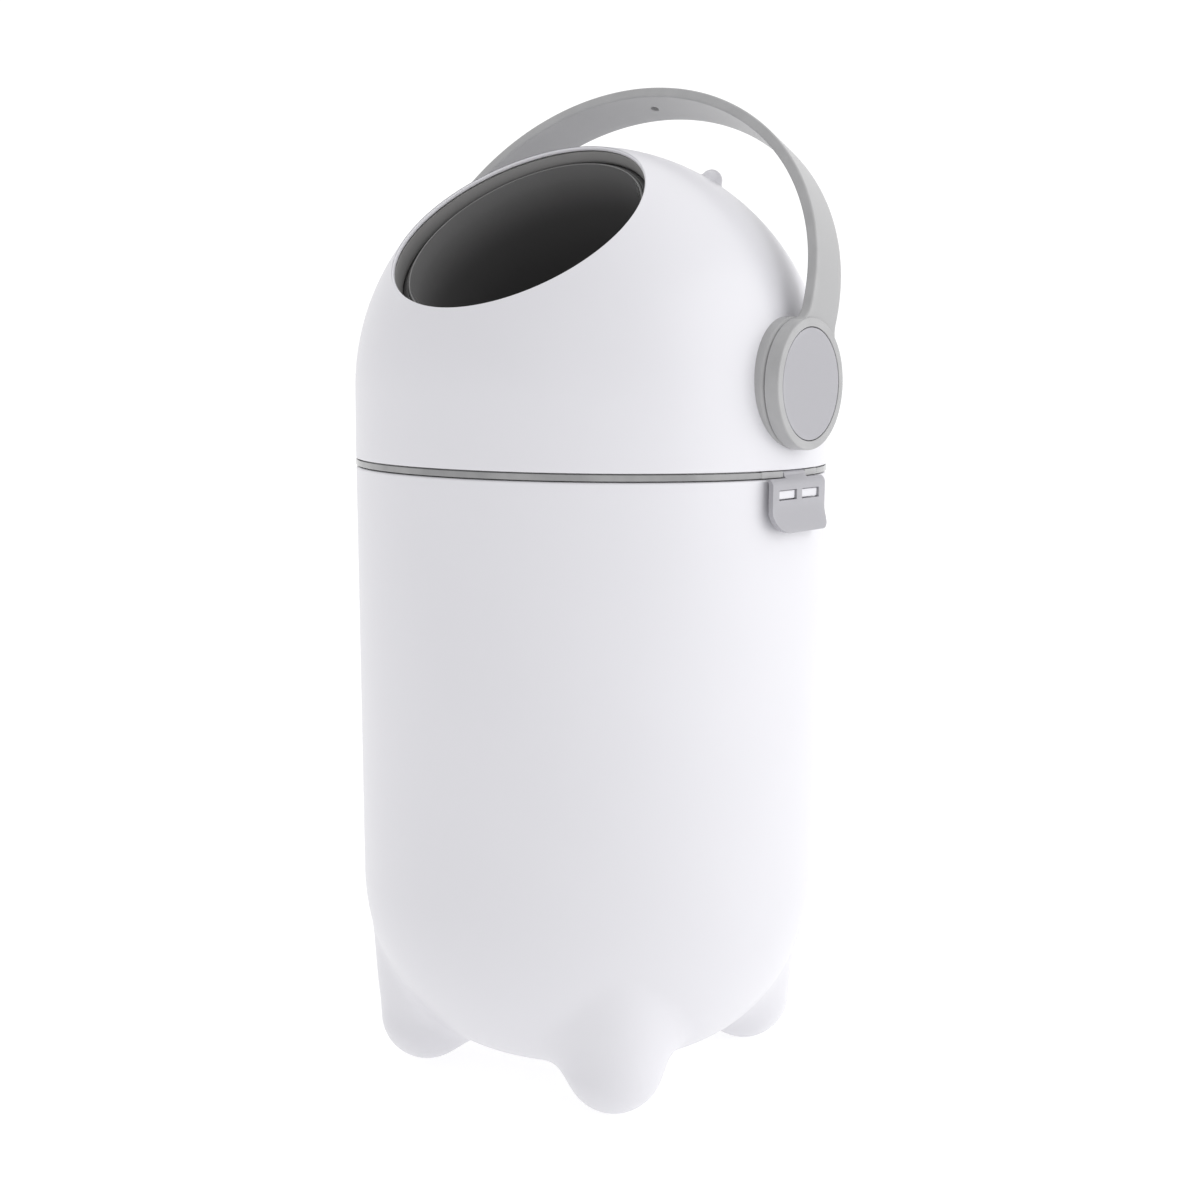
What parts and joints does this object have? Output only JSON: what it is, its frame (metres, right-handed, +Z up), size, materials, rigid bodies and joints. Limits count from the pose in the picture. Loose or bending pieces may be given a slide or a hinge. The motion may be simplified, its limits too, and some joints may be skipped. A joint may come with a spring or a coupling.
{
  "type": "nappy bin",
  "caption": "Free-standing nappy bin with a lift-off dome head and a drum that tips its load into the bucket when the bail handle swings over.",
  "frame": {"origin": "on the floor, under the middle of the bin", "axes": "+Z up, -Y towards the front and the mouth, +X towards the right-hand hub"},
  "size_m": [0.2992, 0.28, 0.5909],
  "materials": {
    "body": "white moulded plastic, satin",
    "trim": "light grey moulded plastic, satin",
    "band": "mid grey moulded plastic",
    "drum": "dark grey moulded plastic, matt",
    "seal": "dark rubber",
    "bearing": "natural acetal",
    "metal": "plated steel"
  },
  "bodies": {
    "bucket": {"bucket_shell": "body"},
    "bag_ring": {"bag_ring": "trim"},
    "head": {"dome_shell": "body", "band_ring": "band", "head_floor": "trim", "throat_seal": "seal", "mouth_seal": "seal", "head_screws": "metal", "collar_right": "band", "collar_left": "band", "bush_right": "bearing", "bush_left": "bearing", "latch_base_right": "trim", "latch_base_left": "trim", "latch_pins": "metal"},
    "latch_right": {"latch_right": "trim"},
    "latch_left": {"latch_left": "trim"},
    "drum": {"drum_shell": "drum", "drum_bowl": "drum", "drum_end_right": "drum", "drum_end_left": "drum", "drum_screws": "metal", "axle_right": "bearing", "axle_left": "bearing", "handle": "trim", "hub_cap_right": "trim", "hub_cap_left": "trim", "hub_screws": "metal"}
  },
  "joints": [
    {"name": "head_lift", "type": "slide", "parent": "bucket", "child": "head", "axis": [0, 0, 1], "range_m": [0, 0.25]},
    {"name": "bag_ring_lift", "type": "slide", "parent": "bucket", "child": "bag_ring", "axis": [0, 0, 1], "range_m": [0, 0.075]},
    {"name": "flip", "type": "hinge", "parent": "head", "child": "drum", "pos_m": [0, 0, 0.4155], "axis": [1, 0, 0], "range_deg": [0, 139.5]},
    {"name": "latch_right_swing", "type": "hinge", "parent": "head", "child": "latch_right", "pos_m": [0.138, 0, 0.3657], "axis": [0, -1, 0], "range_deg": [0, 35]},
    {"name": "latch_left_swing", "type": "hinge", "parent": "head", "child": "latch_left", "pos_m": [-0.138, 0, 0.3657], "axis": [0, 1, 0], "range_deg": [0, 35]}
  ],
  "couplings": [
    {"joint": "bag_ring_lift", "follows": "head_lift", "ratio": 0.3}
  ]
}
